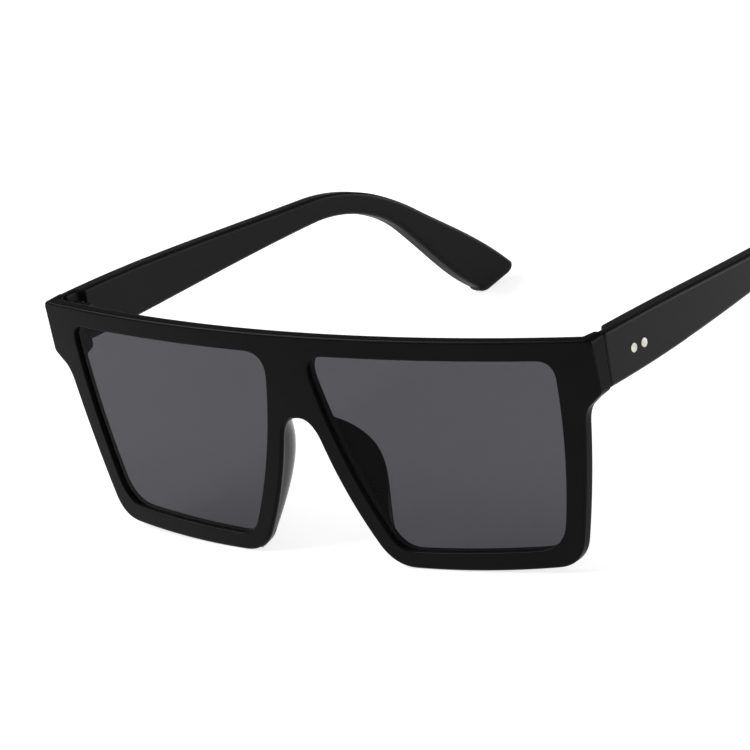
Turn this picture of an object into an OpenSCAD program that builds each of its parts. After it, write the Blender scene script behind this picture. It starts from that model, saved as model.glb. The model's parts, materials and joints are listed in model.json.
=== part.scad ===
// Square flat-top sunglasses: one-piece moulded front, two tinted lenses, two folding temples.
// Left and right are the wearer's. +X is the wearer's left, +Y runs back along the temples, +Z is up.
// The glasses stand as they do on a table, on the lower rims and the two temple tips.

/* [Front] */
// Width across the two end pieces
front_w = 150; // [140:1:160]
// Thickness of the moulded front
front_t = 3.2; // [3:0.1:4]
// Radius of the front's curve, seen from above
face_r = 334; // [260:2:420]
// Lean of the front against the temples, lower edge back
lean = 4.5; // [2:0.5:8]
// Height of the end piece that carries the hinge
end_h = 11.5; // [11:0.1:13]
// Depth from the top edge to the top of the nose arch
arch_z = 18.5; // [16:0.1:21]
// Depth from the top edge to the bottom of the rim, at the nose side
rim_low_z = 50.3; // [47:0.1:55]
// Rise of the rim's bottom edge, from the nose side to the outer side
rim_rise = 1.9; // [0:0.1:4]
// How far the rim's outer bottom corner lies in from the end piece
rim_in = 11.9; // [9:0.1:15]
// Half distance between the rims at the bottom
rim_in_x = 18.1; // [16:0.1:20]
// Half width of the nose arch, before rounding
arch_x = 4.1; // [3.4:0.1:5]
// How far the end piece overhangs the rim
end_over = 4.4; // [3:0.1:5]
// Height of the slope under the end piece
end_slope = 3.7; // [2:0.1:4.5]

/* [Lens openings] */
// Width of the top bar above the opening
bar_h = 4.3; // [3.8:0.1:6]
// Width of the rim below the opening
sill_h = 3.6; // [3.4:0.1:6]
// Half distance between the openings at the top
open_in_x = 5.1; // [4.8:0.1:7]
// Width of the front beside the opening's outer top corner
side_bar = 9; // [8:0.1:11]
// Width of the rim's outer leg at the bottom corner
leg_out = 3.2; // [2.8:0.1:5]
// Width of the rim's nose leg at the bottom corner
leg_in = 2; // [1.8:0.1:3.5]

/* [Lenses] */
// Lens thickness
lens_t = 1.8; // [1.4:0.1:2]
// How deep the lens edge sits in the rim's groove
groove_d = 0.7; // [0.5:0.05:1]
// Depth of the lens behind the front face
lens_in = 0.7; // [0.5:0.05:0.9]
// Clearance of the lens in its groove
lens_gap = 0.05; // [0.03:0.01:0.1]

/* [Nose pads] */
// Reach of the moulded nose pads behind the front face
pad_reach = 9.5; // [8:0.1:12]
// How far the pads flare apart towards the back
pad_flare = 3.8; // [3:0.1:6]
// Thickness of a nose pad
pad_t = 2.2; // [1.8:0.1:3]

/* [Temples] */
// Height of a temple at its hinge end
temple_h = 11.4; // [10:0.1:12]
// Height of a temple at its waist, before the ear bend
waist_h = 4.9; // [4:0.1:6]
// Distance from the start of the ear bend to the waist
waist_back = 21; // [0:0.5:24]
// Height of a temple at its tip
tip_h = 10.9; // [8:0.1:12]
// Thickness of a temple
temple_t = 4.2; // [3.8:0.1:4.8]
// Length of the straight part, from the hinge joint to the ear bend
straight_l = 74.5; // [68:0.5:88]
// Radius of the ear bend
bend_r = 41; // [30:1:50]
// Angle of the ear piece below the horizontal
drop = 41.5; // [34:0.5:48]
// Length of the ear piece behind the bend
ear_l = 29; // [22:0.5:34]
// Rise of the straight part towards the back
rise = 2.2; // [0:0.1:3]
// How far a temple has curved inwards at its tip
curl_in = 11; // [4:0.1:14]
// Inward slope of a temple at the joint
toe_in = 0.01; // [0:0.005:0.04]
// Edge rounding of a temple
temple_r = 1; // [0.5:0.1:1.2]
// Rounding of the tip's corners, seen from the side
tip_r = 2; // [1:0.1:3]
// Slant of the tip's end face above the horizontal
tip_slant = 18; // [12:1:35]
// Height of the temple's top edge above the front's top edge at the joint
temple_step = -0.3; // [-0.5:0.05:0.3]

/* [Hinges] */
// Distance from the front's middle plane to the butt joint
joint_y = 13; // [12.6:0.1:14]
// Gap of the butt joint when the temples are open
butt_gap = 0.1; // [0.05:0.05:0.3]
// Height of the hinge barrel
hinge_h = 6; // [5:0.1:7]
// Number of knuckles, front and temple ones taken together
knuckles = 5; // [3:2:7]
// Outer radius of a knuckle
knuckle_r = 1.55; // [1.4:0.05:1.7]
// Thickness of the hinge leaves
leaf_t = 1; // [0.8:0.05:1.2]
// Thickness of the temple's outer lip beside the hinge
lip_t = 2.55; // [2.2:0.05:2.8]
// Length of the lip, from the joint to the slope behind it
lip_l = 3.6; // [3.4:0.1:6]
// Length of the slope from the lip to the full thickness
lip_slope = 0.9; // [0.6:0.1:2]
// Length of the temple leaf behind the hinge axis
leaf_l = 13; // [12:0.1:16]
// Width of the front leaf beside the hinge axis
foot_l = 3.2; // [2.8:0.1:3.4]
// Radius of the hinge screw
screw_r = 0.65; // [0.5:0.05:0.8]
// Radius of the screw head
head_r = 1.25; // [1.1:0.05:1.4]
// Height of the screw head
head_h = 0.7; // [0.5:0.05:1]
// Running clearance around the screw
run_gap = 0.05; // [0.03:0.01:0.08]
// Clearance between knuckles, and of leaves in their seats
fit_gap = 0.06; // [0.04:0.01:0.1]

/* [Rivets] */
// Distance from the joint to the first rivet
rivet_y = 8.7; // [8.2:0.1:9.5]
// Distance between the two rivets
rivet_step = 3.5; // [3:0.1:4]
// Radius of the rivet heads
rivet_r = 0.95; // [0.8:0.05:1.1]
// Radius of the rivet shanks
shank_r = 0.6; // [0.5:0.05:0.7]
// How far the rivet heads stand proud
rivet_proud = 0.12; // [0.05:0.01:0.2]

/* [Hidden] */

black = [0.1, 0.1, 0.105];
tint = [0.36, 0.35, 0.38, 0.75];
steel = [0.75, 0.74, 0.7];
$fn = 48;
// A value that reaches past a face that it cuts
over = 1;
// A length that clears the front from any side
deep = 30;
// Facets of the front's long arcs
arc_fn = 400;

// Corner lists hold [point, trim before, trim after, bow of the side that follows].
// Points are [x, z] on the front's face, z measured down from the top edge, clockwise.
half_w = front_w / 2;
rim_out_x = half_w - rim_in;
open_out_x = half_w - side_bar;
rim_top_x = half_w - end_over;
rim_corner = [rim_out_x, rim_rise - rim_low_z];
outer_corners = [
    [[0, 0], 0, 0, 0],
    [[half_w, 0], 1.6, 1.6, 0],
    [[half_w, -end_h], 0.8, 0.8, 0],
    [[rim_top_x, -end_h - end_slope], 0.4 * end_over, 3, 0.6],
    [rim_corner, 5.2, 5.2, 0.75],
    [[rim_in_x, -rim_low_z], 5.5, 5.5, 1.7],
    [[arch_x, -arch_z], arch_x + 1, arch_x - 0.2, 0],
    [[0, -arch_z], 0, 0, 0]];
open_corners = [
    [[open_in_x, -bar_h], 6, 6, 0],
    [[open_out_x, -bar_h], 4.1, 4.1, 1.4],
    [rim_corner + [-leg_out, sill_h], 5.8, 5.8, 0.4],
    [[rim_in_x + leg_in, sill_h - rim_low_z], 4.3, 4.3, 2.2]];
side_n = 10;
bend_n = 6;

function entry(c, i) = c[i % len(c)];
function side_of(c, i) = entry(c, i + 1)[0] - entry(c, i)[0];
function normal_of(d) = [-d[1], d[0]] / norm(d);
function side_at(c, i, s) =
    entry(c, i)[0] + side_of(c, i) * s + normal_of(side_of(c, i)) * 4 * entry(c, i)[3] * s * (1 - s);
function slope_at(c, i, s) =
    side_of(c, i) + normal_of(side_of(c, i)) * 4 * entry(c, i)[3] * (1 - 2 * s);
function first_s(c, i) = entry(c, i)[2] / norm(side_of(c, i));
function last_s(c, i) = 1 - entry(c, i + 1)[1] / norm(side_of(c, i));
function meet(p, u, q, v) = p + u * cross(q - p, v) / cross(u, v);
function mix(a, b, t) = a + (b - a) * t;
function side_points(c, i) =
    let (n = entry(c, i)[3] == 0 ? 1 : side_n)
    [for (k = [0:n]) side_at(c, i, mix(first_s(c, i), last_s(c, i), k / n))];
function bend_points(c, i) =
    let (j = i + 1,
        p = side_at(c, i, last_s(c, i)),
        q = side_at(c, j, first_s(c, j)),
        m = meet(p, slope_at(c, i, last_s(c, i)), q, slope_at(c, j, first_s(c, j))))
    [for (k = [1:bend_n - 1]) let (t = k / bend_n) mix(mix(p, m, t), mix(m, q, t), t)];
function closed_path(c) =
    [for (i = [0:len(c) - 1]) each concat(side_points(c, i), bend_points(c, i))];
function open_path(c) =
    [for (i = [0:len(c) - 2]) each concat(side_points(c, i), i < len(c) - 2 ? bend_points(c, i) : [])];
function both_halves(p) =
    concat(p, [for (i = [len(p) - 2:-1:1]) [-p[i][0], p[i][1]]]);
function outward(p, i) =
    let (n = len(p),
        a = normal_of(p[i] - p[(i + n - 1) % n]),
        b = normal_of(p[(i + 1) % n] - p[i]))
    (a + b) / (1 + a * b);
function grow(p, d) = [for (i = [0:len(p) - 1]) p[i] + outward(p, i) * d];

outer_loop = both_halves(open_path(outer_corners));
open_loop = closed_path(open_corners);

// Depth of the front face behind its middle, at a half width
function face_y(x) = face_r - sqrt(face_r * face_r - x * x);

// Hinge axis, in the temples' frame
axis_x = half_w - lip_t - fit_gap - knuckle_r;
axis_y = joint_y + knuckle_r + 0.2;
temple_top = joint_y * sin(lean) + temple_step;
hinge_z = temple_top - temple_h / 2;

// Temple centreline and height, station by station, in the temples' frame
function ease(t) = (1 - cos(180 * t)) / 2;
start_y = joint_y + butt_gap;
bend_y = joint_y + straight_l;
waist_y = bend_y + waist_back;
bend_z = hinge_z + straight_l * tan(rise);
ear_y = bend_y + bend_r * (sin(rise) + sin(drop));
ear_z = bend_z - bend_r * (cos(rise) - cos(drop));
function outer_x(y) =
    half_w - toe_in * (y - joint_y) - curl_in * pow((y - joint_y) / (tip_y - joint_y), 2);
function height_at(y) =
    y < waist_y ? mix(temple_h, waist_h, ease((y - joint_y) / (waist_y - joint_y)))
    : mix(waist_h, tip_h, ease(min(1, (y - waist_y) / (tip_y - waist_y))));
tip_y = ear_y + ear_l * cos(drop);
tip_z = ear_z - ear_l * sin(drop);
// A station is [y, z, half height, angle of its section line above the horizontal]
straight_n = 10;
arc_n = 10;
ear_n = 5;
end_n = 4;
lip_end_y = joint_y + lip_l;
full_y = lip_end_y + lip_slope;
straight_stations = [for (y = [start_y, lip_end_y, full_y,
        for (k = [1:straight_n]) mix(full_y, bend_y, k / straight_n)])
    [y, hinge_z + (y - joint_y) * tan(rise), height_at(y) / 2, 90]];
arc_stations = [for (k = [1:arc_n])
    let (a = mix(-rise, drop, k / arc_n),
        y = bend_y + bend_r * (sin(rise) + sin(a)))
    [y, bend_z - bend_r * (cos(rise) - cos(a)), height_at(y) / 2, 90 - a]];
ear_stations = [for (k = [1:ear_n])
    let (t = k / ear_n, y = mix(ear_y, tip_y, t))
    [y, mix(ear_z, tip_z, t), height_at(y) / 2, mix(90 - drop, tip_slant, pow(t, 2))]];
end_stations = [for (k = [1:end_n])
    let (a = 90 * k / end_n)
    [tip_y + tip_r * sin(a) * sin(tip_slant), tip_z - tip_r * sin(a) * cos(tip_slant),
        tip_h / 2 - tip_r * (1 - cos(a)), tip_slant]];
stations = concat(straight_stations, arc_stations, ear_stations, end_stations);
function thickness_at(y) =
    mix(lip_t, temple_t, max(0, min(1, (y - lip_end_y) / lip_slope)));
// Section of a temple, as [distance in from the outer face, share of the height line] corners
corner_n = 3;
function rounded_box(w, h, r) =
    [for (q = [0:3]) for (k = [0:corner_n])
        let (a = 90 * q + 90 * k / corner_n,
            sx = (q == 0 || q == 3) ? 1 : -1,
            sz = q < 2 ? 1 : -1)
        [sx * (w / 2 - r) + r * cos(a), sz * (h / 2 - r) + r * sin(a)]];
function station_ring(s) =
    let (t = thickness_at(s[0]), u = [cos(s[3]), sin(s[3])])
    [for (p = rounded_box(t, 2 * s[2], min(temple_r, t / 2 - 0.1)))
        let (y = s[0] + u[0] * p[1], z = s[1] + u[1] * p[1])
        [outer_x(y) - t / 2 + p[0], y, z]];

// Resting pose: the lowest line that touches the rims and the tips
function lowered(y, z, a) = [y * cos(a) + z * sin(a), z * cos(a) - y * sin(a)];
rim_point = lowered(front_t + face_y(rim_in_x + 5), min([for (p = outer_loop) p[1]]), -lean);
tip_points = [for (s = stations) if (s[0] > ear_y) for (e = [-1, 1])
    [s[0] + e * s[2] * cos(s[3]), s[1] + e * s[2] * sin(s[3])]];
rest_angle = min([for (p = tip_points) atan2(p[1] - rim_point[1], p[0] - rim_point[0])]);
function rest_y(p) = lowered(p[0], p[1], rest_angle)[0];
rear_y = max([for (p = tip_points) rest_y(p)]);
fore_y = min([for (p = outer_loop) rest_y(lowered(face_y(p[0]), p[1], -lean))]);
low_z = lowered(rim_point[0], rim_point[1], rest_angle)[1];

module resting() {
    translate([0, -(rear_y + fore_y) / 2, -low_z]) rotate([-rest_angle, 0, 0]) children();
}
module leaning() {
    rotate([lean, 0, 0]) children();
}
module on_right() {
    mirror([1, 0, 0]) children();
}

// A prism of an [x, z] outline, along Y
module prism(loop, y0, y1) {
    translate([0, y1, 0]) rotate([90, 0, 0]) linear_extrude(y1 - y0) polygon(loop);
}
// The curved layer between two depths behind the front face
module layer(d0, d1) {
    translate([0, face_r, -rim_low_z - deep]) difference() {
        cylinder(h = rim_low_z + 2 * deep, r = face_r - d0, $fn = arc_fn);
        translate([0, 0, -over]) cylinder(h = rim_low_z + 3 * deep, r = face_r - d1, $fn = arc_fn);
    }
}
module curved_plate(loop, d0, d1) {
    intersection() {
        prism(loop, -over, deep);
        layer(d0, d1);
    }
}
// A closed skin over rings of points, with a fan of triangles over each end
module skin(rings) {
    n = len(rings[0]);
    m = len(rings);
    polyhedron([for (r = rings) each r],
        concat([for (i = [1:n - 2]) [0, i, i + 1]],
            [for (j = [0:m - 2]) for (i = [0:n - 1])
                for (f = [[j * n + i, (j + 1) * n + (i + 1) % n, j * n + (i + 1) % n],
                    [j * n + i, (j + 1) * n + i, (j + 1) * n + (i + 1) % n]]) f],
            [for (i = [1:n - 2]) [(m - 1) * n, (m - 1) * n + i + 1, (m - 1) * n + i]]));
}

// Behind each end piece: a block as thick as the temple's lip, for the temple to butt on, and a lower
// boss beside it that carries the hinge. The joint's plane cuts both flat.
block_x = half_w - lip_t;
boss_x = open_out_x - 2;
boss_top = 1.2;
module end_block() {
    intersection() {
        prism(outer_loop, front_t, joint_y + 3 * over);
        union() {
            translate([block_x, front_t / 2, -end_h]) cube([deep, joint_y + 2 * over, end_h + over]);
            translate([boss_x, front_t / 2, -end_h]) cube([deep, joint_y + 2 * over, end_h - boss_top]);
        }
    }
}

// A pad's section, corner by corner: [distance into the rim's nose leg, share of the flare, share of
// the reach behind the pad's root]
pad_n = 12;
pad_from = 0.06;
pad_to = 0.97;
// How far up the pad swells most
pad_rise = 1.8;
pad_root = front_t - 0.9;
pad_least = front_t - 0.4;
pad_corners = [[3, 0, 0], [3.1, 0, 0.22], [pad_t + 0.9, 0.5, 0.6], [pad_t + 0.2, 0.9, 0.92],
    [pad_t - 0.5, 1, 1], [0.8, 1, 1], [0.35, 1, 0.95], [0.3, 0.5, 0.75], [0.25, 0.12, 0.4], [0.3, 0, 0]];
function pad_ring(k) =
    let (p = side_at(outer_corners, 5, mix(pad_from, pad_to, k / pad_n)),
        swell = pow(sin(180 * pow(k / pad_n, pad_rise)), 0.7),
        reach = mix(pad_least, pad_reach, swell))
    [for (q = pad_corners)
        [p[0] + q[0] + pad_flare * swell * q[1], face_y(p[0]) + mix(pad_root, reach, q[2]), p[1]]];
module nose_pad() {
    skin([for (k = [0:pad_n]) pad_ring(k)]);
}

// The front leaf with its anchor, or their seat when grown by a gap
anchor_d = 1.4;
anchor_h = 3.2;
anchor_w = 2;
module foot(g) {
    translate([axis_x - foot_l - g, joint_y - leaf_t - g, hinge_z - hinge_h / 2 - g])
        cube([foot_l + knuckle_r + 2 * g, leaf_t + 2 * g, hinge_h + 2 * g]);
    translate([axis_x - anchor_w / 2 - g, joint_y - leaf_t - anchor_d - g, hinge_z - anchor_h / 2 - g])
        cube([anchor_w + 2 * g, anchor_d + 2 * g, anchor_h + 2 * g]);
}

module front_half_parts() {
    end_block();
    nose_pad();
}

module front_frame() {
    color(black) resting() difference() {
        leaning() difference() {
            union() {
                curved_plate(outer_loop, 0, front_t);
                front_half_parts();
                on_right() front_half_parts();
            }
            for (m = [0, 1]) mirror([m, 0, 0]) {
                prism(open_loop, -over, deep);
                curved_plate(grow(open_loop, groove_d), lens_in, lens_in + lens_t + 2 * lens_gap);
            }
        }
        for (m = [0, 1]) mirror([m, 0, 0])
            translate([boss_x - over, joint_y, -end_h]) cube([deep, deep, end_h + deep]);
        foot(fit_gap);
        on_right() foot(fit_gap);
    }
}

module lens() {
    resting() leaning()
        curved_plate(grow(open_loop, groove_d - lens_gap), lens_in + lens_gap, lens_in + lens_gap + lens_t);
}
module lens_left() { color(tint) lens(); }
module lens_right() { color(tint) on_right() lens(); }

// Knuckle heights, with the clearance shared between neighbours
step_h = hinge_h / knuckles;
function knuckle_z(i) = hinge_z - hinge_h / 2 + i * step_h + (i == 0 ? 0 : fit_gap / 2);
function knuckle_h(i) = step_h - (i == 0 || i == knuckles - 1 ? fit_gap / 2 : fit_gap);
module knuckle(i) {
    translate([axis_x, axis_y, knuckle_z(i)]) cylinder(h = knuckle_h(i), r = knuckle_r);
}
// The web that joins a knuckle to its leaf
module web(i, from, size) {
    translate([from[0], from[1], knuckle_z(i)]) cube([size[0], size[1], knuckle_h(i)]);
}
module pin_bore() {
    translate([axis_x, axis_y, hinge_z - hinge_h / 2 - over])
        cylinder(h = hinge_h + 2 * over, r = screw_r + run_gap);
}
module front_hinge() {
    resting() difference() {
        union() {
            foot(0);
            for (i = [0:2:knuckles - 1]) {
                knuckle(i);
                web(i, [axis_x - knuckle_r, joint_y - leaf_t], [2 * knuckle_r, axis_y - joint_y + leaf_t]);
            }
        }
        pin_bore();
    }
}
module front_hinge_left() { color(steel) front_hinge(); }
module front_hinge_right() { color(steel) on_right() front_hinge(); }

// Rivet places along the temple, in the temples' frame
rivet_ys = [joint_y + rivet_y, joint_y + rivet_y + rivet_step];
leaf_x = axis_x + knuckle_r - leaf_t;
leaf_end = axis_y + leaf_l;
module temple_hinge() {
    resting() difference() {
        union() {
            translate([leaf_x, axis_y + knuckle_r + fit_gap, hinge_z - hinge_h / 2 + step_h])
                cube([leaf_t, leaf_l - knuckle_r - fit_gap, hinge_h - 2 * step_h]);
            for (i = [1:2:knuckles - 2]) {
                knuckle(i);
                web(i, [leaf_x, axis_y], [leaf_t, knuckle_r + 2 * fit_gap]);
            }
        }
        pin_bore();
        for (y = rivet_ys) translate([leaf_x - over, y, hinge_z]) rotate([0, 90, 0])
            cylinder(h = leaf_t + 2 * over, r = shank_r + run_gap);
    }
}
module temple_hinge_left() { color(steel) temple_hinge(); }
module temple_hinge_right() { color(steel) on_right() temple_hinge(); }

screw_tail = 0.3;
slot_w = 0.3;
slot_d = 0.35;
module hinge_screw() {
    low = hinge_z - hinge_h / 2 - screw_tail;
    top = hinge_z + hinge_h / 2 + fit_gap;
    resting() translate([axis_x, axis_y, 0]) difference() {
        union() {
            translate([0, 0, low]) cylinder(h = top - low + head_h / 2, r = screw_r);
            translate([0, 0, top]) cylinder(h = head_h, r = head_r);
        }
        translate([-head_r - over, -slot_w / 2, top + head_h - slot_d])
            cube([2 * (head_r + over), slot_w, slot_d + over]);
    }
}
module hinge_screw_left() { color(steel) hinge_screw(); }
module hinge_screw_right() { color(steel) on_right() hinge_screw(); }

rivet_head = 0.65;
module temple() {
    resting() difference() {
        skin([for (i = [len(stations) - 1:-1:0]) station_ring(stations[i])]);
        translate([axis_x - deep, axis_y, hinge_z - hinge_h / 2 + step_h - fit_gap])
            cube([deep + knuckle_r + fit_gap, leaf_l + fit_gap, hinge_h - 2 * step_h + 2 * fit_gap]);
        for (y = rivet_ys) translate([leaf_x, y, hinge_z]) rotate([0, 90, 0]) {
            cylinder(h = deep, r = shank_r + run_gap);
            translate([0, 0, outer_x(y) - leaf_x - rivet_head - run_gap])
                cylinder(h = deep, r = rivet_r + run_gap);
        }
    }
}
module temple_left() { color(black) temple(); }
module temple_right() { color(black) on_right() temple(); }

module temple_rivets() {
    resting() for (y = rivet_ys) translate([leaf_x, y, hinge_z]) rotate([0, 90, 0]) {
        cylinder(h = outer_x(y) - leaf_x - rivet_head / 2, r = shank_r);
        translate([0, 0, outer_x(y) - leaf_x - rivet_head])
            cylinder(h = rivet_head + rivet_proud, r = rivet_r);
    }
}
module temple_rivets_left() { color(steel) temple_rivets(); }
module temple_rivets_right() { color(steel) on_right() temple_rivets(); }

front_frame();
lens_left();
lens_right();
front_hinge_left();
front_hinge_right();
temple_hinge_left();
temple_hinge_right();
hinge_screw_left();
hinge_screw_right();
temple_left();
temple_right();
temple_rivets_left();
temple_rivets_right();
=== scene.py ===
import json
import math

import bmesh
import bpy
import numpy as np
from mathutils import Matrix, Vector
from mathutils.geometry import delaunay_2d_cdt


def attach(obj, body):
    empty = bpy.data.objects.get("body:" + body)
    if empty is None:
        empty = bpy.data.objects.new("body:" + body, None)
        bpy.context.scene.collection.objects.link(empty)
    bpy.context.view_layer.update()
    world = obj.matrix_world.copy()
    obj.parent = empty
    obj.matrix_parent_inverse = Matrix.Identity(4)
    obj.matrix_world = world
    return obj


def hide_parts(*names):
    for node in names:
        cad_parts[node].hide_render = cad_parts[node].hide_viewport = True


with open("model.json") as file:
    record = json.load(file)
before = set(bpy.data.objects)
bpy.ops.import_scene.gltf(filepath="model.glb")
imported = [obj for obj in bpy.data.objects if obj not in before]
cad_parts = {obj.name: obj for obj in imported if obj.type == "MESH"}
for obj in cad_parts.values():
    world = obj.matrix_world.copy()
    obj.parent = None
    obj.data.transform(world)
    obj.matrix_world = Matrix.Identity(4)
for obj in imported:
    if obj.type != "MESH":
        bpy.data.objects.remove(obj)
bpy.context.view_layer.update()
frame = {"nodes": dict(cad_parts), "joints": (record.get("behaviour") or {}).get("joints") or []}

MM = 0.001
sin, cos, pi = math.sin, math.cos, math.pi

# Frames. Sizes are in mm until a point reaches the resting frame.
# Face frame: x across, y back, z up from the front's top edge. Arm frame: the face frame leant by LEAN.
# Resting frame: the CAD frame, in metres. The joint in the record says how the arms' frame rests.
# HINGE is the joint's place in the arm frame.
LEAN = math.radians(4.5)
HINGE = np.array([70.84, 14.75, -4.98003])
joint = next(j for j in frame["joints"] if j["name"] == "left_fold")
REST = math.atan2(joint["axis"][1], joint["axis"][2])


def turn(p, a):
    """Points or directions turned by a about the x axis."""
    p = np.asarray(p, float)
    x, y, z = p[..., 0], p[..., 1], p[..., 2]
    return np.stack([x, y * cos(a) - z * sin(a), y * sin(a) + z * cos(a)], -1)


ORIGIN = np.array(joint["pos_m"]) / MM - turn(HINGE, -REST)


def arm_to_rest(p):
    return (turn(p, -REST) + ORIGIN) * MM


def face_to_rest(p):
    return arm_to_rest(turn(p, LEAN))


def new_object(name, data):
    o = bpy.data.objects.new(name, data)
    bpy.context.scene.collection.objects.link(o)
    return o


# Camera, fitted to the photograph in the arms' frame
PICTURE_PX, SENSOR = 750, 36
FOCAL_PX, DIST = 5003.0, 1005.7
AZ, EL, ROLL = math.radians(42.61), math.radians(15.516), math.radians(-9.217)
TARGET = np.array([25.0, 0.12, -6.99])


def photo_camera():
    """A camera DIST away from TARGET, AZ round to the wearer's left, EL above it, and rolled by ROLL."""
    back = np.array([sin(AZ) * cos(EL), -cos(AZ) * cos(EL), sin(EL)])
    right = np.cross(-back, [0, 0, 1])
    right /= np.linalg.norm(right)
    up = np.cross(right, -back)
    right, up = right * cos(ROLL) + up * sin(ROLL), up * cos(ROLL) - right * sin(ROLL)
    axes = [turn(v, -REST) for v in (right, up, back)]
    eye = arm_to_rest(TARGET + back * DIST)
    data = bpy.data.cameras.new("photo_camera")
    data.sensor_width = SENSOR
    data.lens = FOCAL_PX / PICTURE_PX * SENSOR
    data.clip_start, data.clip_end = 0.05, 20
    cam = new_object("photo_camera", data)
    cam.matrix_world = Matrix([[*(a[i] for a in axes), eye[i]] for i in range(3)] + [[0, 0, 0, 1]])
    return cam


bpy.context.scene.camera = photo_camera()


# Materials
def node(t, kind, links=(), **values):
    """A new node: links are (input, source socket) pairs, values set inputs or the node's own settings."""
    n = t.nodes.new(kind)
    for k, v in values.items():
        if k in n.inputs:
            n.inputs[k].default_value = v
        else:
            setattr(n, k, v)
    for socket, source in links:
        t.links.new(source, n.inputs[socket])
    return n


def nodes_of(name):
    m = bpy.data.materials.new(name)
    m.use_nodes = True
    m.node_tree.nodes.clear()
    out = m.node_tree.nodes.new("ShaderNodeOutputMaterial")
    return m, m.node_tree, out


def noise(t, coords, scale, detail=3.0, roughness=0.5):
    values = {"Scale": scale, "Detail": detail, "Roughness": roughness}
    return node(t, "ShaderNodeTexNoise", [("Vector", coords)], **values).outputs["Fac"]


def ramp(t, fac, stops):
    n = node(t, "ShaderNodeValToRGB", [("Fac", fac)])
    e = n.color_ramp.elements
    while len(e) < len(stops):
        e.new(0.5)
    for s, (pos, colour) in zip(e, stops):
        s.position = pos
        s.color = (*colour, 1)
    return n.outputs["Color"]


def remap(t, value, old, new):
    """The value, with the range old stretched to the range new."""
    ends = dict(zip(("From Min", "From Max", "To Min", "To Max"), (*old, *new)))
    return node(t, "ShaderNodeMapRange", [("Value", value)], **ends).outputs["Result"]


def moulded_plastic(name, dark, light, rough, specular):
    """Matt moulded plastic: a fine blasted grain, faint flow clouds and slightly polished patches."""
    m, t, out = nodes_of(name)
    co = node(t, "ShaderNodeTexCoord").outputs["Object"]
    base = ramp(t, noise(t, co, 60, 4, 0.55), [(0.3, dark), (0.7, light)])
    worn = remap(t, noise(t, co, 190, 3, 0.6), (0, 1), (rough - 0.035, rough + 0.035))
    blasted = noise(t, co, 5200, 2, 0.6)
    grain = node(t, "ShaderNodeBump", [("Height", blasted)], Strength=0.12, Distance=0.00003)
    links = [("Base Color", base), ("Roughness", worn), ("Normal", grain.outputs["Normal"])]
    shader = node(t, "ShaderNodeBsdfPrincipled", links)
    shader.inputs["Specular IOR Level"].default_value = specular
    t.links.new(shader.outputs["BSDF"], out.inputs["Surface"])
    return m


def tinted_lens(name, top, bottom):
    """Clear smoke tint; its colour is darker towards the lower edge."""
    m, t, out = nodes_of(name)
    co = node(t, "ShaderNodeTexCoord").outputs["Object"]
    z = node(t, "ShaderNodeSeparateXYZ", [("Vector", co)]).outputs["Z"]
    base = ramp(t, remap(t, z, (0.002, 0.05), (0, 1)), [(0.0, bottom), (0.45, top), (1.0, top)])
    shader = node(t, "ShaderNodeBsdfPrincipled", [("Base Color", base)])
    shader.inputs["Roughness"].default_value = 0.0
    shader.inputs["Transmission Weight"].default_value = 1.0
    shader.inputs["IOR"].default_value = 1.12
    t.links.new(shader.outputs["BSDF"], out.inputs["Surface"])
    return m


def plated_metal(name, dark, light, rough, stretch):
    """Plated or brushed metal: fine lines along one axis, and soft stains."""
    m, t, out = nodes_of(name)
    co = node(t, "ShaderNodeTexCoord").outputs["Object"]
    lines = node(t, "ShaderNodeMapping", [("Vector", co)])
    lines.inputs["Scale"].default_value = stretch
    brushed = noise(t, lines.outputs["Vector"], 3000, 2)
    base = ramp(t, noise(t, co, 900, 3), [(0.35, dark), (0.65, light)])
    worn = remap(t, brushed, (0, 1), (rough - 0.08, rough + 0.1))
    scratches = node(t, "ShaderNodeBump", [("Height", brushed)], Strength=0.15, Distance=0.00002)
    links = [("Base Color", base), ("Roughness", worn), ("Normal", scratches.outputs["Normal"])]
    shader = node(t, "ShaderNodeBsdfPrincipled", links)
    shader.inputs["Metallic"].default_value = 1.0
    t.links.new(shader.outputs["BSDF"], out.inputs["Surface"])
    return m


FRONT_BLACK = moulded_plastic("front_black", (0.0036, 0.0036, 0.0039), (0.0052, 0.0052, 0.0055), 0.32, 0.065)
PAD_BLACK = moulded_plastic("pad_black", (0.0045, 0.0045, 0.0048), (0.006, 0.006, 0.0064), 0.16, 0.5)
ARM_BLACK = moulded_plastic("arm_black", (0.0056, 0.0056, 0.006), (0.0078, 0.0078, 0.0082), 0.38, 0.12)
LENS = tinted_lens("lens_smoke", (0.077, 0.075, 0.084), (0.068, 0.066, 0.074))
HINGE_METAL = plated_metal("hinge_metal", (0.016, 0.016, 0.017), (0.03, 0.03, 0.031), 0.36, (1, 1, 8))
SCREW_METAL = plated_metal("screw_metal", (0.03, 0.03, 0.032), (0.05, 0.05, 0.052), 0.3, (1, 1, 1))
RIVET_METAL = plated_metal("rivet_metal", (0.5, 0.48, 0.43), (0.66, 0.64, 0.58), 0.3, (1, 6, 1))


# Sizes of the front, as in the CAD source
HALF_W, FRONT_T, FACE_R = 75.0, 3.2, 334.0
END_H, END_OVER, END_SLOPE = 11.5, 4.4, 3.7
RIM_LOW, RIM_RISE, RIM_IN, RIM_IN_X = 50.3, 1.9, 11.9, 18.1
ARCH_X, ARCH_Z = 4.1, 18.5
BAR_H, SILL_H, OPEN_IN_X, SIDE_BAR, LEG_OUT, LEG_IN = 4.3, 3.6, 5.1, 9.0, 3.2, 2.0
JOINT_Y, END_LOW, BLOCK_X, BOSS_X, BOSS_TOP = 13.0, 0.04, 72.45, 64.0, -1.2

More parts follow.
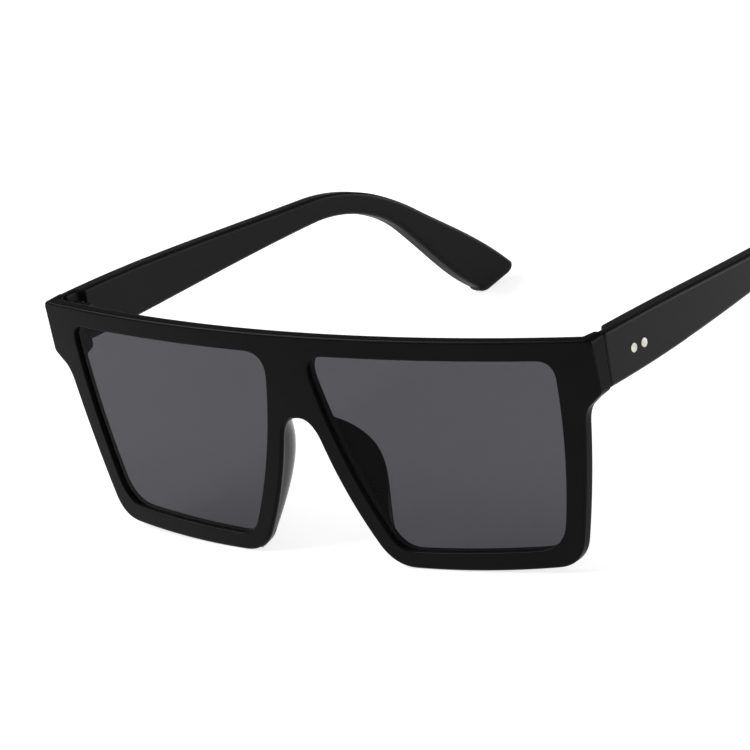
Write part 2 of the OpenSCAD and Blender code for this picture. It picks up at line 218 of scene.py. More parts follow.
# A corner is (point, trim before, trim after, bow of the side that follows)
RIM_X, OUT_LOW = HALF_W - RIM_IN, RIM_LOW - RIM_RISE
OUTER = [((0, 0), 0, 0, 0),
         ((HALF_W, 0), 1.6, 1.6, 0),
         ((HALF_W, -END_H), 0.8, 0.8, 0),
         ((HALF_W - END_OVER, -END_H - END_SLOPE), 1.76, 3, 0.6),
         ((RIM_X, -OUT_LOW), 5.2, 5.2, 0.75),
         ((RIM_IN_X, -RIM_LOW), 5.5, 5.5, 1.7),
         ((ARCH_X, -ARCH_Z), 5.1, 3.9, 0),
         ((0, -ARCH_Z), 0, 0, 0)]
RIM_FOOT, ARCH_TOP = 5, 6
OPENING = [((OPEN_IN_X, -BAR_H), 6, 6, 0),
           ((HALF_W - SIDE_BAR, -BAR_H), 4.1, 4.1, 1.4),
           ((RIM_X - LEG_OUT, SILL_H - OUT_LOW), 5.8, 5.8, 0.4),
           ((RIM_IN_X + LEG_IN, SILL_H - RIM_LOW), 4.3, 4.3, 2.2)]
SIDE_STEPS, CORNER_STEPS = 24, 12


def corner_point(c, i):
    return np.array(c[i % len(c)][0], float)


def side_point(c, i, s):
    """The point at share s of side i, a shallow curve that bows out by the corner's last number."""
    d = corner_point(c, i + 1) - corner_point(c, i)
    n = np.array([-d[1], d[0]]) / np.linalg.norm(d)
    return corner_point(c, i) + d * s + n * 4 * c[i % len(c)][3] * s * (1 - s)


def side_slope(c, i, s):
    d = corner_point(c, i + 1) - corner_point(c, i)
    n = np.array([-d[1], d[0]]) / np.linalg.norm(d)
    return d + n * 4 * c[i % len(c)][3] * (1 - 2 * s)


def trims(c, i):
    """The shares of side i at which its corners' rounding ends and starts."""
    length = np.linalg.norm(corner_point(c, i + 1) - corner_point(c, i))
    return c[i % len(c)][2] / length, 1 - c[(i + 1) % len(c)][1] / length


def cross2(a, b):
    return a[0] * b[1] - a[1] * b[0]


def rounding(c, i):
    """The points between side i and the next, on a curve that leaves both sides in line."""
    end, start = trims(c, i)[1], trims(c, i + 1)[0]
    p, u = side_point(c, i, end), side_slope(c, i, end)
    q, v = side_point(c, i + 1, start), side_slope(c, i + 1, start)
    m = p + u * cross2(q - p, v) / cross2(u, v)
    shares = [k / CORNER_STEPS for k in range(1, CORNER_STEPS)]
    return [(p * (1 - h) + m * h) * (1 - h) + (m * (1 - h) + q * h) * h for h in shares]


def path(c, closed):
    """Points of the outline: SIDE_STEPS steps along each side and CORNER_STEPS round each corner."""
    out = []
    sides = len(c) if closed else len(c) - 1
    for i in range(sides):
        s0, s1 = trims(c, i)
        out += [side_point(c, i, s0 + (s1 - s0) * k / SIDE_STEPS) for k in range(SIDE_STEPS + 1)]
        if closed or i < sides - 1:
            out += rounding(c, i)
    return out


def by_a_step(x, z):
    """True beside the steps between the plain rim and the end piece or its boss, where points lie closer."""
    x = abs(x)
    beside = (abs(x - BOSS_X) < 1.4) | (abs(x - BLOCK_X) < 1.15)
    below = (-END_H - 1.9 < z) & (z < -END_H + 1.3) & (x > BOSS_X - 1)
    return (z > -END_H - 2.5) & beside | below


def refined(loop):
    """The outline with each side halved until it is fine enough."""
    def split(a, b):
        if np.hypot(*(b - a)) <= (0.3 if by_a_step(*(a + b) / 2) else 0.9):
            return [a]
        return split(a, (a + b) / 2) + split((a + b) / 2, b)
    out = []
    for a, b in zip(loop, np.roll(loop, -1, 0)):
        if np.hypot(*(b - a)) > 1e-6:
            out += split(a, b)
    return np.array(out)


half = path(OUTER, False)
outer_loop = refined(half + [np.array([-p[0], p[1]]) for p in half[-2:0:-1]])
left_open = refined(path(OPENING, True))
right_open = (left_open * [-1, 1])[::-1]


# Rounded edges and the front's curved surfaces
def normals2(p):
    """The unit normal at each point of a closed outline, to the left of its direction."""
    sides = (p - np.roll(p, 1, 0), np.roll(p, -1, 0) - p)
    s = sum(np.stack([-d[:, 1], d[:, 0]], 1) / np.linalg.norm(d, axis=1)[:, None] for d in sides)
    return s / np.linalg.norm(s, axis=1)[:, None]


def safe_inset(p, r, sign):
    """The rounding at each point: r, or less where the outline's own bend is tighter. It changes slowly."""
    fill, slow, widest, passes = 0.7, 0.3, 9, 60
    n = normals2(p)
    dp, dn = np.roll(p, -1, 0) - np.roll(p, 1, 0), np.roll(n, -1, 0) - np.roll(n, 1, 0)
    bend = (dp * dn).sum(1) / np.maximum((dp * dp).sum(1), 1e-12) * -sign
    w = np.minimum(r, np.where(bend > 1e-6, fill / np.maximum(bend, 1e-6), widest))
    gap = np.linalg.norm(np.roll(p, -1, 0) - p, axis=1)
    for _ in range(passes):
        w = np.minimum(w, np.minimum(np.roll(w, -1) + slow * gap, np.roll(w + slow * gap, 1)))
    return w


def smooth(t):
    t = np.clip(t, 0, 1)
    return t * t * (3 - 2 * t)


def step(value, at, width):
    """0 below at and 1 above it, with a smooth slope of the given width."""
    return smooth((value - at) / width + 0.5)


def layer_y(x, depth):
    """How far back the curved layer lies that is depth behind the face."""
    return FACE_R - np.sqrt((FACE_R - depth) ** 2 - x * x)


def end_share(x, z):
    """1 on the end piece and the hinge boss, which reach back to the joint, 0 on the plain rim."""
    x = np.abs(x)
    low = -END_H - 0.4 * np.maximum(0, x - BLOCK_X)
    boss = step(x, BOSS_X, 1.2) * step(-z, -BOSS_TOP, 0.8)
    return np.maximum(step(x, BLOCK_X, 1.0), boss) * step(z, low, 1.4)


def rear_y(x, z):
    plate = layer_y(x, FRONT_T)
    joint_face = (JOINT_Y - END_LOW + z * sin(LEAN)) / cos(LEAN)
    return plate + (joint_face - plate) * end_share(x, z)


def radial(x, sign):
    """Normals of the curved layers: sign is -1 on a face that looks forward and 1 on one that looks back."""
    return np.stack([-sign * x / FACE_R, sign * np.sqrt(1 - (x / FACE_R) ** 2), 0 * x], 1)


def rear_normal(x, z):
    e = 0.05
    dx = (rear_y(x + e, z) - rear_y(x - e, z)) / (2 * e)
    dz = (rear_y(x, z + e) - rear_y(x, z - e)) / (2 * e)
    n = np.stack([-dx, np.ones_like(dx), -dz], 1)
    return n / np.linalg.norm(n, axis=1)[:, None]


def at_depth(p, y):
    """Points of the face frame: p holds x and z."""
    return np.stack([p[:, 0], y, p[:, 1]], 1)


# Meshes
def tube_faces(start, rings, n):
    """Quads between rings of n points, numbered from start."""
    first = [start + r * n for r in range(rings - 1)]
    return [(f + i, f + (i + 1) % n, f + n + (i + 1) % n, f + n + i) for f in first for i in range(n)]


def signed_volume(v, faces):
    return sum(np.dot(v[f[0]], np.cross(v[f[k]], v[f[k + 1]])) for f in faces for k in range(1, len(f) - 1))


def oriented(v, faces):
    """The same faces, all turned the same way."""
    bm = bmesh.new()
    for p in v:
        bm.verts.new(p)
    bm.verts.ensure_lookup_table()
    for f in faces:
        bm.faces.new([bm.verts[i] for i in f])
    bmesh.ops.recalc_face_normals(bm, faces=bm.faces)
    out = [tuple(x.index for x in f.verts) for f in bm.faces]
    bm.free()
    return out


def piece(name, v, faces, material, normals=None):
    """A closed mesh in the resting frame, with its faces turned outwards."""
    if signed_volume(v, faces) < 0:
        faces = [f[::-1] for f in faces]
    me = bpy.data.meshes.new(name)
    me.from_pydata([tuple(p) for p in v], [], faces)
    me.validate()
    me.shade_smooth()
    if normals is not None:
        me.normals_split_custom_set_from_vertices([tuple(n) for n in normals])
    me.materials.append(material)
    return new_object(name, me)


def grid(x0, x1, z0, z1, step_x, step_z):
    gx, gz = np.meshgrid(np.arange(x0, x1, step_x), np.arange(z0, z1, step_z))
    return np.stack([gx.ravel(), gz.ravel()], 1)


def inside(q, poly):
    """Which points of q lie inside the closed outline."""
    x, y = q[:, 0][:, None], q[:, 1][:, None]
    a, b = poly, np.roll(poly, -1, 0)
    crosses = (a[:, 1] > y) != (b[:, 1] > y)
    with np.errstate(divide="ignore", invalid="ignore"):
        hit = x < (b[:, 0] - a[:, 0]) * (y - a[:, 1]) / (b[:, 1] - a[:, 1]) + a[:, 0]
    return (crosses & hit).sum(1) % 2 == 1


def in_area(q, loops):
    """Which points of q lie inside the first loop and outside the others."""
    ok = inside(q, loops[0])
    for hole in loops[1:]:
        ok &= ~inside(q, hole)
    return ok


def clear_of(q, edge, clear):
    """The points of q that lie further than clear from every edge point, tried in batches to save memory."""
    batch = 400
    kept = []
    for k in range(0, len(q), batch):
        p = q[k:k + batch]
        nearest = np.linalg.norm(p[:, None] - edge[None], axis=2).min(1)
        kept.append(p[nearest > clear(p)])
    return np.concatenate(kept)


def cap(loops, extra, clear):
    """Triangles of the area inside the first loop and outside the others, with extra points inside it."""
    edge = np.concatenate(loops)
    extra = clear_of(extra[in_area(extra, loops)], edge, clear)
    sides, start = [], 0
    for l in loops:
        sides += [(start + i, start + (i + 1) % len(l)) for i in range(len(l))]
        start += len(l)
    points = [Vector(p) for p in np.concatenate([edge, extra])]
    found = delaunay_2d_cdt(points, sides, [], 0, 1e-7)
    flat, triangles = np.array([tuple(p) for p in found[0]]), np.array(found[2])
    source = [o[0] if o else None for o in found[3]]
    kept = triangles[in_area(flat[triangles].mean(1), loops)]
    return extra, [tuple(source[i] for i in f) for f in kept]


class Shell:
    """Points, normals and faces of a closed surface in the face frame, gathered tube by tube."""

    def __init__(self):
        self.points = np.zeros((0, 3))
        self.normals = np.zeros((0, 3))
        self.faces = []

    def add(self, points, normals):
        start = len(self.points)
        self.points = np.concatenate([self.points, points])
        self.normals = np.concatenate([self.normals, normals])
        return start

    def add_tube(self, rings, normals):
        """Joins the rings and gives the numbers of the first ring's points and of the last ring's."""
        starts = [self.add(r, n) for r, n in zip(rings, normals)]
        n = len(rings[0])
        self.faces += tube_faces(starts[0], len(rings), n)
        return [list(range(s, s + n)) for s in (starts[0], starts[-1])]

    def add_cap(self, ends, extra, clear, surface):
        """Closes the area between the rings in ends. surface gives y and the normal at any x and z."""
        loops = [self.points[e][:, [0, 2]] for e in ends]
        more, triangles = cap(loops, extra, clear)
        y, normals = surface(more[:, 0], more[:, 1])
        base = self.add(at_depth(more, y), normals)
        look = [i for e in ends for i in e] + list(range(base, base + len(more)))
        self.faces += [tuple(look[i] for i in f) for f in triangles]

    def piece(self, name, s, material):
        """The object, mirrored where s is -1."""
        v = self.points * [s, 1, 1]
        n = turn(turn(self.normals * [s, 1, 1], LEAN), -REST)
        return piece(name, face_to_rest(v), oriented(v, self.faces), material, n)


# Moulded front
# Rounding of the front edge, of the rear edge, and of the rear edge at the joint
OUTER_ROUND = (0.6, 1.3, 0.16)
OPENING_ROUND = (0.3, 0.35, 0.3)


def wall_rings(loop, sign, front_r, rear_r, joint_r):
    """Rings and normals from the front face, round its edge, along the wall and round the rear edge.
    sign is 1 for the outer outline and -1 for an opening, whose material lies outside it."""
    n2 = normals2(loop)
    side = at_depth(n2, 0 * n2[:, 0]) * sign
    rings, normals = [], []
    r = safe_inset(loop, front_r, sign)
    for a in np.linspace(0, pi / 2, 6):
        p = loop - n2 * (sign * r * (1 - sin(a)))[:, None]
        rings.append(at_depth(p, layer_y(p[:, 0], 0) + r * (1 - cos(a))))
        normals.append(radial(p[:, 0], -1) * cos(a) + side * sin(a))
    r = safe_inset(loop, rear_r, sign)
    r = r + (np.minimum(r, joint_r) - r) * end_share(loop[:, 0], loop[:, 1])
    start, end = rings[-1][:, 1], rear_y(loop[:, 0], loop[:, 1]) - r
    for k in range(1, 4):
        rings.append(at_depth(loop, start + (end - start) * k / 4))
        normals.append(side)
    for a in np.linspace(0, pi / 2, 5):
        p = loop - n2 * (sign * r * (1 - cos(a)))[:, None]
        rings.append(at_depth(p, rear_y(p[:, 0], p[:, 1]) - r * (1 - sin(a))))
        normals.append(side * cos(a) + rear_normal(p[:, 0], p[:, 1]) * sin(a))
    return rings, normals


def among_fine_rows(q):
    x, z = np.abs(q[:, 0]), q[:, 1]
    beside = (x < BOSS_X + 1.3) | (x > BLOCK_X - 0.95)
    return (x > BOSS_X - 1.2) & (z > -END_H - 2) & (beside | (z < -END_H + 1.4) | (z > BOSS_TOP - 1.1))


def fine_rows():
    """Close points on the rear face, along the steps round the hinge boss and the end piece."""
    rows = []
    for s in (-1, 1):
        x0, x1 = sorted((s * (BOSS_X + 1.3), s * (BLOCK_X - 0.85)))
        rows.append(grid(s * BOSS_X - 1.1, s * BOSS_X + 1.2, -END_H - 1.9, 0, 0.22, 0.4))
        rows.append(grid(s * (BLOCK_X + 0.05) - 0.9, s * (BLOCK_X + 0.05) + 0.9, -END_H - 1.9, 0, 0.2, 0.4))
        rows.append(grid(x0, x1, -END_H - 1.8, -END_H + 1.3, 0.5, 0.22))
        rows.append(grid(x0, x1, BOSS_TOP - 1, BOSS_TOP + 1, 0.5, 0.2))
    return np.concatenate(rows)


def front_clear(q):
    """How far extra points stay from the outlines: less where the rows are fine."""
    return np.where(among_fine_rows(q), 0.15, 0.7)


def face_surface(x, z):
    return layer_y(x, 0), radial(x, -1)


def rear_surface(x, z):
    return rear_y(x, z), rear_normal(x, z)


def front_shell():
    """The face and the rear, joined by the walls of the outline and of both openings."""
    shell = Shell()
    walls = ((outer_loop, 1, OUTER_ROUND), (left_open, -1, OPENING_ROUND), (right_open, -1, OPENING_ROUND))
    ends = [shell.add_tube(*wall_rings(loop, sign, *radii)) for loop, sign, radii in walls]
    coarse = grid(1 - HALF_W, HALF_W, -51, 0, 2.1, 2.1)
    fine = np.concatenate([coarse[~among_fine_rows(coarse)], fine_rows()])
    shell.add_cap([e[0] for e in ends], coarse, front_clear, face_surface)
    shell.add_cap([e[1] for e in ends], fine, front_clear, rear_surface)
    return shell.piece("front_shell", 1, FRONT_BLACK)


front = front_shell()
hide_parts("front_frame")
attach(front, "front")


# Nose pads
PAD_T, PAD_REACH, PAD_FLARE, PAD_LEAST = 2.2, 9.5, 3.8, FRONT_T - 0.4
# Depth of the pad's foot behind the face
PAD_ROOT = 0.7
# Points of the outline by which a pad starts before the side from RIM_FOOT and ends after ARCH_TOP
PAD_BEFORE, PAD_AFTER = 7, 18
# Share of that side below the pad's swelling, and share of it that the swelling takes
PAD_LOW, PAD_SPAN = 0.06, 0.91
# Corners of a pad's section: how far into the moulding, share of the flare, share of the reach
PAD_CORNERS = [(2.8, 0, 0), (3.1, 0, 0.35), (PAD_T + 0.9, 0.5, 0.67), (PAD_T + 0.2, 0.9, 0.94),
               (PAD_T - 0.5, 1, 1), (0.9, 1, 1), (0.42, 0.94, 0.95), (0.22, 0.55, 0.79),
               (0.02, 0.16, 0.53), (-0.03, 0, 0.28), (-0.03, 0, 0.05), (0, 0, 0)]


def closed_curve(p, m):
    """A closed smooth curve through the points, m steps for each."""
    out = []
    for i in range(len(p)):
        a, b, c, d = (p[(i + k) % len(p)] for k in (-1, 0, 1, 2))
        for t in np.arange(m) / m:
            bend = (2 * a - 5 * b + 4 * c - d) * t * t
            out.append(0.5 * (2 * b + (c - a) * t + bend + (3 * b - a - 3 * c + d) * t ** 3))
    return np.array(out)


def pad_route(count):
    """Even points along the outline that a pad grows from, and their unit directions."""
    side = SIDE_STEPS + CORNER_STEPS
    route = np.array(half[RIM_FOOT * side - PAD_BEFORE:ARCH_TOP * side + PAD_AFTER])
    along = np.concatenate([[0], np.cumsum(np.linalg.norm(np.diff(route, axis=0), axis=1))])
    even = np.linspace(0, along[-1], count + 1)
    route = np.stack([np.interp(even, along, route[:, k]) for k in (0, 1)], 1)
    slope = np.gradient(route, axis=0)
    return route, slope / np.linalg.norm(slope, axis=1)[:, None]


def pad_rings(count):
    """Sections of a pad, from the rim's lower corner to the arch's top."""
    foot = corner_point(OUTER, RIM_FOOT)
    side = corner_point(OUTER, ARCH_TOP) - foot
    rings = []
    for p, t in zip(*pad_route(count)):
        share = np.clip((np.dot(p - foot, side) / np.dot(side, side) - PAD_LOW) / PAD_SPAN, 0, 1)
        swell = max(0, sin(pi * share ** 1.8)) ** 0.7
        front_y = layer_y(p[0], 0) + PAD_ROOT
        depth = PAD_LEAST + (PAD_REACH - PAD_LEAST) * swell - PAD_ROOT
        rings.append(closed_curve([np.array([p[0] + t[1] * a + PAD_FLARE * swell * b, front_y + depth * c,
                                             p[1] - t[0] * a]) for a, b, c in PAD_CORNERS], 4))
    return rings


def nose_pad(name, s):
    """The pad and the arch's wall in front of it: one polished surface of the same moulding."""
    rings = pad_rings(64)
    n = len(rings[0])
    v = np.concatenate(rings) * [s, 1, 1]
    faces = tube_faces(0, len(rings), n) + [tuple(range(n)), tuple(range(len(v) - n, len(v)))]
    pad = piece(name, face_to_rest(v), oriented(v, faces), PAD_BLACK)
    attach(pad, "front")


nose_pad("nose_pad_left", 1)
nose_pad("nose_pad_right", -1)


# Lenses
LENS_FRONT, LENS_T, LENS_BEVEL = 0.75, 1.8, 0.12
# How far a lens reaches into the groove
LENS_EDGE = 0.65


def lens_piece(name, s, node_name):
    """A curved plate with bevelled edges, seated in the opening's groove."""
    loop = (left_open + normals2(left_open) * LENS_EDGE)[::2]
    n2 = normals2(loop)
    side = at_depth(n2, 0 * n2[:, 0])
    near, far = LENS_FRONT, LENS_FRONT + LENS_T
    inner = loop - n2 * LENS_BEVEL
    rings = [at_depth(p, layer_y(p[:, 0], d)) for p, d in
             ((inner, near), (loop, near + LENS_BEVEL), (loop, far - LENS_BEVEL), (inner, far))]
    shell = Shell()
    ends = shell.add_tube(rings, [radial(inner[:, 0], -1), side, side, radial(inner[:, 0], 1)])
    extra = grid(2, 72, -52, 0, 1.6, 1.6)
    shell.add_cap([ends[0]], extra, lambda q: 0.6, lambda x, z: (layer_y(x, near), radial(x, -1)))
    shell.add_cap([ends[1]], extra, lambda q: 0.6, lambda x, z: (layer_y(x, far), radial(x, 1)))
    o = shell.piece(name, s, LENS)
    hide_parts(node_name)
    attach(o, "front")


lens_piece("lens_plate_left", 1, "lens_left")
lens_piece("lens_plate_right", -1, "lens_right")


# Sizes of the temples and of what they hold, as in the CAD source
TEMPLE_H, WAIST_H, TIP_H, TEMPLE_T = 11.4, 4.9, 10.9, 4.2
STRAIGHT_L, BEND_R, EAR_L, WAIST_BACK = 74.5, 41.0, 29.0, 21.0
DROP, RISE, TIP_SLANT, TIP_R = math.radians(41.5), math.radians(2.2), math.radians(18), 2.0
CURL_IN, TOE_IN, LIP_T, LIP_L, LIP_SLOPE = 11.0, 0.01, 2.55, 3.6, 0.9
BUTT_GAP, BUTT_ROUND, EDGE_R, JOINT_EDGE_R = 0.1, 0.5, 1.0, 0.9
KNUCKLE_R, LEAF_T, LEAF_L, LEAF_HALF, FIT_GAP = 1.55, 1.0, 13.0, 1.8, 0.06
RIVET_Y, RIVET_STEP, RIVET_SEAT_R, RIVET_SEAT = 8.7, 3.5, 1.06, 0.7
# Length of the leaf's slot that is open to the inside. A skin hides the rest, as in the photograph.
MOUTH_L = 4.7

HINGE_Z = HINGE[2]
START_Y, BEND_Y = JOINT_Y + BUTT_GAP, JOINT_Y + STRAIGHT_L
WAIST_Y = BEND_Y + WAIST_BACK
BEND_Z = HINGE_Z + STRAIGHT_L * math.tan(RISE)
EAR_Y, EAR_Z = BEND_Y + BEND_R * (sin(RISE) + sin(DROP)), BEND_Z - BEND_R * (cos(RISE) - cos(DROP))
TIP_Y, TIP_Z = EAR_Y + EAR_L * cos(DROP), EAR_Z - EAR_L * sin(DROP)
# The joint's part of a temple, where its edges are rounded a little less
JOINT_PART_Y = 40


def ease(t):
    return (1 - cos(pi * min(1, max(0, t)))) / 2


def outer_x(y):
    return HALF_W - TOE_IN * (y - JOINT_Y) - CURL_IN * ((y - JOINT_Y) / (TIP_Y - JOINT_Y)) ** 2


def height_at(y):
    if y < WAIST_Y:
        return TEMPLE_H + (WAIST_H - TEMPLE_H) * ease((y - JOINT_Y) / (WAIST_Y - JOINT_Y))
    return WAIST_H + (TIP_H - WAIST_H) * ease((y - WAIST_Y) / (TIP_Y - WAIST_Y))


def thick_at(y):
    slope_middle = JOINT_Y + LIP_L + LIP_SLOPE / 2
    return LIP_T + (TEMPLE_T - LIP_T) * float(step(y, slope_middle, LIP_SLOPE + 0.2))


def straight_station(y, inset):
    return y, HINGE_Z + (y - JOINT_Y) * math.tan(RISE), height_at(y) / 2 - inset, pi / 2, inset


def temple_stations():
    """[y, z, half height, section angle, inset of the sides] from the joint to the tip."""
    rounds = np.linspace(pi / 2, 0, 5)
    out = [straight_station(START_Y + BUTT_ROUND * (1 - sin(a)), BUTT_ROUND * (1 - cos(a))) for a in rounds]
    close = np.arange(START_Y + 0.8, START_Y + 5.3, 0.12)
    out += [straight_station(y, 0) for y in (*close, *np.arange(START_Y + 5.4, BEND_Y, 1.1))]
    for a in np.linspace(-RISE, DROP, 31)[1:]:
        y = BEND_Y + BEND_R * (sin(RISE) + sin(a))
        out.append((y, BEND_Z - BEND_R * (cos(RISE) - cos(a)), height_at(y) / 2, pi / 2 - a, 0))
    for t in np.linspace(0, 1, 21)[1:]:
        y = EAR_Y + (TIP_Y - EAR_Y) * t
        angle = (pi / 2 - DROP) * (1 - t * t) + TIP_SLANT * t * t
        out.append((y, EAR_Z + (TIP_Z - EAR_Z) * t, height_at(y) / 2, angle, 0))
    for a in np.linspace(0, pi / 2, 9)[1:]:
        ahead, inset = TIP_R * sin(a), TIP_R * (1 - cos(a))
        y, z = TIP_Y + ahead * sin(TIP_SLANT), TIP_Z - ahead * cos(TIP_SLANT)
        out.append((y, z, TIP_H / 2 - inset, TIP_SLANT, 1 - cos(a)))
    return out


def section(w, h, r):
    """A rounded rectangle, counter-clockwise, with points along its sides, more of them on the high ones."""
    def corner_at(q, share):
        sx, sz = ((1, 1), (-1, 1), (-1, -1), (1, -1))[q % 4]
        a = pi / 2 * (q + share)
        return np.array([sx * (w / 2 - r) + r * cos(a), sz * (h / 2 - r) + r * sin(a)])
    out = []
    for q, m in enumerate((3, 9, 3, 9)):
        out += [corner_at(q, k / 7) for k in range(8)]
        a, b = corner_at(q, 1), corner_at(q + 1, 0)
        out += [a + (b - a) * k / m for k in range(1, m)]
    return np.array(out)


def temple_mesh():
    rings = []
    for y, z, half_h, a, inset in temple_stations():
        t = thick_at(y)
        w = t - 2 * inset
        r = min(JOINT_EDGE_R if y < JOINT_PART_Y else EDGE_R, w / 2 - 0.05, half_h - 0.05)
        p = section(w, 2 * half_h, r)
        back = y + cos(a) * p[:, 1]
        rings.append(np.stack([outer_x(back) - t / 2 + p[:, 0], back, z + sin(a) * p[:, 1]], 1))
    n = len(rings[0])
    v = np.concatenate([*rings, [rings[0].mean(0)], [rings[-1].mean(0)]])
    last = (len(rings) - 1) * n
    faces = tube_faces(0, len(rings), n)
    faces += [(i, (i + 1) % n, len(v) - 2) for i in range(n)]
    faces += [(last + i, last + (i + 1) % n, len(v) - 1) for i in range(n)]
    return v, faces


def box(x0, x1, y0, y1, z0, z1):
    v = [(x, y, z) for x in (x0, x1) for y in (y0, y1) for z in (z0, z1)]
    return v, [(0, 1, 3, 2), (4, 6, 7, 5), (0, 4, 5, 1), (2, 3, 7, 6), (0, 2, 6, 4), (1, 5, 7, 3)]


def cylinder_x(y, z, x0, x1, r, n=40):
    ring = [(y + r * cos(2 * pi * i / n), z + r * sin(2 * pi * i / n)) for i in range(n)]
    v = [(x, *p) for x in (x0, x1) for p in ring]
    return v, tube_faces(0, 2, n) + [tuple(range(n)), tuple(range(n, 2 * n))]


def arm_piece(name, shape, s):
    """A closed shape of the arm frame as an object, mirrored where s is -1."""
    v, faces = shape
    v = arm_to_rest(np.asarray(v, float) * [s, 1, 1])
    return piece(name, v, oriented(v, faces), ARM_BLACK)


def cut(o, shapes, s):
    """Takes the shapes out of the object and bakes the result into its mesh."""
    cutters = [arm_piece("cutter", shape, s) for shape in shapes]
    for c in cutters:
        m = o.modifiers.new("cut", "BOOLEAN")
        m.operation, m.solver, m.object = "DIFFERENCE", "EXACT", c
    bpy.context.view_layer.update()
    me = bpy.data.meshes.new_from_object(o.evaluated_get(bpy.context.evaluated_depsgraph_get()))
    o.modifiers.clear()
    o.data = me
    for c in cutters:
        bpy.data.objects.remove(c)


def leaf_slot():
    """The slot for the temple leaf: a mouth open to the inside, and a closed pocket behind it."""
    leaf_x = HINGE[0] + KNUCKLE_R - LEAF_T
    outer, half_h = leaf_x + LEAF_T + FIT_GAP, LEAF_HALF + FIT_GAP
    low, high = HINGE_Z - half_h, HINGE_Z + half_h
    mouth = box(40, outer, HINGE[1], JOINT_Y + MOUTH_L, low, high)
    pocket = box(leaf_x - FIT_GAP, outer, JOINT_Y + MOUTH_L - 0.1, HINGE[1] + LEAF_L + FIT_GAP, low, high)
    return [mouth, pocket]


def rivet_seats():
    ys = (JOINT_Y + RIVET_Y, JOINT_Y + RIVET_Y + RIVET_STEP)
    return [cylinder_x(y, HINGE_Z, outer_x(y) - RIVET_SEAT, outer_x(y) + 3, RIVET_SEAT_R) for y in ys]


def temple_piece(side_name, s):
    o = arm_piece("temple_arm_" + side_name, temple_mesh(), s)
    cut(o, leaf_slot() + rivet_seats(), s)
    o.data.shade_smooth()
    o.data.set_sharp_from_angle(angle=math.radians(38))
    even = o.modifiers.new("even_normals", "WEIGHTED_NORMAL")
    even.keep_sharp = True
    even.weight = 50
    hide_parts("temple_" + side_name)
    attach(o, side_name + "_arm")


temple_piece("left", 1)
temple_piece("right", -1)


# Metal parts, which are the CAD's own
def finish_node(name, material, width):
    """The material, and edges softened by width mm."""
    o = frame["nodes"][name]
    o.data.materials.clear()
    o.data.materials.append(material)
    o.data.shade_smooth()
    weld = o.modifiers.new("weld", "WELD")
    weld.merge_threshold = 1e-6
    soft = o.modifiers.new("soft_edges", "BEVEL")
    soft.width, soft.segments = width * MM, 2
    soft.limit_method, soft.angle_limit = "ANGLE", math.radians(50)


for side_name in ("left", "right"):
    finish_node("front_hinge_" + side_name, HINGE_METAL, 0.07)
    finish_node("temple_hinge_" + side_name, HINGE_METAL, 0.07)
    finish_node("hinge_screw_" + side_name, SCREW_METAL, 0.06)
    finish_node("temple_rivets_" + side_name, RIVET_METAL, 0.1)


# Stage and light
def calc(t, operation, a, b):
    """A math node's result. a is a socket, b a socket or a number."""
    n = node(t, "ShaderNodeMath", [(0, a)], operation=operation)
    if isinstance(b, float):
        n.inputs[1].default_value = b
    else:
        t.links.new(b, n.inputs[1])
    return n.outputs[0]


def seen(t, mirrored):
    """1 for rays from the camera, straight or through a lens, and the given share for mirrored ones."""
    rays = node(t, "ShaderNodeLightPath").outputs
    straight = calc(t, "MAXIMUM", rays["Is Camera Ray"], rays["Is Transmission Ray"])
    return calc(t, "MAXIMUM", straight, calc(t, "MULTIPLY", rays["Is Glossy Ray"], mirrored))


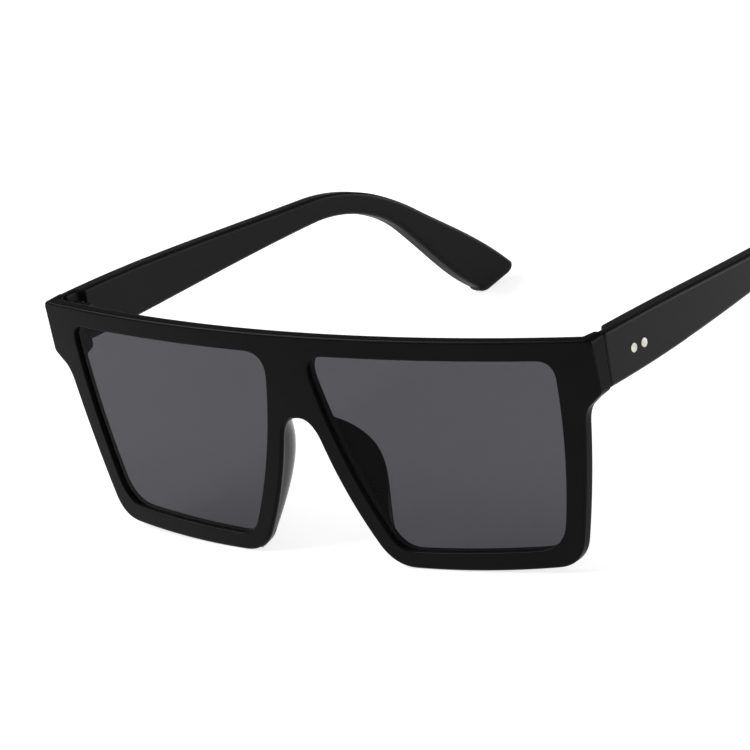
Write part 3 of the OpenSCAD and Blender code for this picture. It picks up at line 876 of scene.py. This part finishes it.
def pale_floor():
    """A white floor that takes the object's shadow. Mirrored rays find it darker on the viewer's left."""
    half_size, below = 6, 0.00002
    m, t, out = nodes_of("pale_floor")
    co = node(t, "ShaderNodeTexCoord").outputs["Object"]
    paper = ramp(t, noise(t, co, 40, 3), [(0.3, (0.55, 0.55, 0.55)), (0.7, (0.57, 0.57, 0.57))])
    diffuse = node(t, "ShaderNodeBsdfDiffuse", [("Color", paper)])
    across = node(t, "ShaderNodeSeparateXYZ", [("Vector", co)]).outputs["X"]
    level = calc(t, "MULTIPLY", seen(t, remap(t, across, (-0.35, 0.25), (0.1, 1.3))), 0.75)
    glow = node(t, "ShaderNodeEmission", [("Strength", level)], Color=(1, 1, 1, 1))
    both = node(t, "ShaderNodeAddShader", [(0, diffuse.outputs[0]), (1, glow.outputs[0])])
    t.links.new(both.outputs[0], out.inputs["Surface"])
    me = bpy.data.meshes.new("floor")
    corners = [(x * half_size, y * half_size, 0) for x, y in ((-1, -1), (1, -1), (1, 1), (-1, 1))]
    me.from_pydata(corners, [], [(0, 1, 2, 3)])
    me.materials.append(m)
    floor = new_object("floor", me)
    floor.location.z = -below


def studio_world():
    """White for the camera, and a soft fill. Mirrored rays see it dark from just above the horizon."""
    world = bpy.data.worlds.new("studio")
    bpy.context.scene.world = world
    world.use_nodes = True
    t = world.node_tree
    t.nodes.clear()
    direction = node(t, "ShaderNodeTexCoord").outputs["Generated"]
    height = node(t, "ShaderNodeSeparateXYZ", [("Vector", direction)]).outputs["Z"]
    sweep = remap(t, height, (-0.02, 0.04), (1.0, 0.1))
    fill = calc(t, "MULTIPLY", node(t, "ShaderNodeLightPath").outputs["Is Diffuse Ray"], 0.3)
    level = calc(t, "MAXIMUM", seen(t, sweep), fill)
    sky = node(t, "ShaderNodeBackground", [("Strength", level)], Color=(1, 1, 1, 1))
    t.links.new(sky.outputs[0], t.nodes.new("ShaderNodeOutputWorld").inputs["Surface"])


def softbox(name, at, look, size, power):
    light = bpy.data.lights.new(name, "AREA")
    light.shape, light.energy = "RECTANGLE", power
    light.size, light.size_y = size
    o = new_object(name, light)
    o.location = at
    o.rotation_mode = "QUATERNION"
    o.rotation_quaternion = (Vector(at) - Vector(look)).to_track_quat("Z", "Y")


pale_floor()
studio_world()
softbox("key_left", (-1.05, -0.45, 1.15), (0, 0, 0.02), (1.0, 1.0), 18)
softbox("back_right", (0.8, 1.3, 0.3), (0, 0.05, 0.03), (1.2, 0.5), 8)
softbox("fill_right", (1.3, -1.1, 0.9), (0, 0, 0.02), (1.0, 1.0), 5)

bpy.context.scene.view_settings.view_transform = "Standard"
